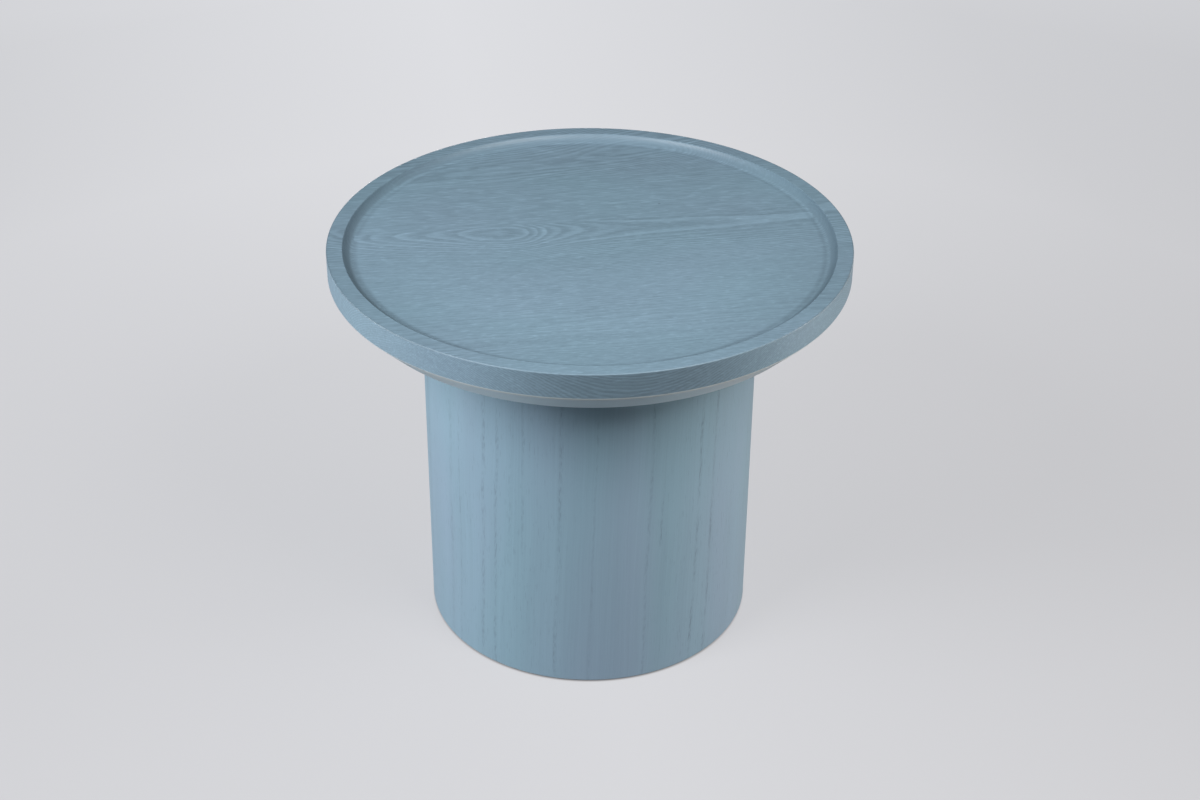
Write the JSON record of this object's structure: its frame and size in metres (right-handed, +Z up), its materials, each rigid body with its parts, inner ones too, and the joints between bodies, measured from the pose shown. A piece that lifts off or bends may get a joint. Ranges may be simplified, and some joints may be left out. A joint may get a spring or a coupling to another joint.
{
  "type": "drum side table",
  "caption": "Round side table with a thick tray top, raised lip, coved recess and bevelled underside, standing on a narrower hollow drum with felt feet let into its base.",
  "frame": {"origin": "on the floor, on the drum's axis, in the middle of the footprint", "axes": "+Z up the drum's axis; +X along the grain and the glue joints of the top; -Y towards the picture's viewer"},
  "size_m": [0.55, 0.55, 0.45],
  "materials": {
    "stained_ash": "solid ash, blue grey stain under matt lacquer, open grain",
    "stained_ash_veneer": "ash veneer, blue grey stain under matt lacquer, grain upright",
    "plywood": "raw sanded birch plywood",
    "beech": "raw planed beech",
    "zinc_steel": "bright zinc plate",
    "felt": "pressed wool felt"
  },
  "bodies": {
    "root": {"top_board_1": "stained_ash", "top_board_2": "stained_ash", "top_board_3": "stained_ash", "top_board_4": "stained_ash", "top_board_5": "stained_ash", "drum_veneer": "stained_ash_veneer", "drum_shell_front": "plywood", "drum_shell_back": "plywood", "top_plate": "plywood", "base_ring": "plywood", "seam_spline_left": "beech", "seam_spline_right": "beech", "centre_dowel": "beech", "coach_screws": "zinc_steel", "screw_washers": "zinc_steel", "felt_pads": "felt"}
  },
  "joints": []
}
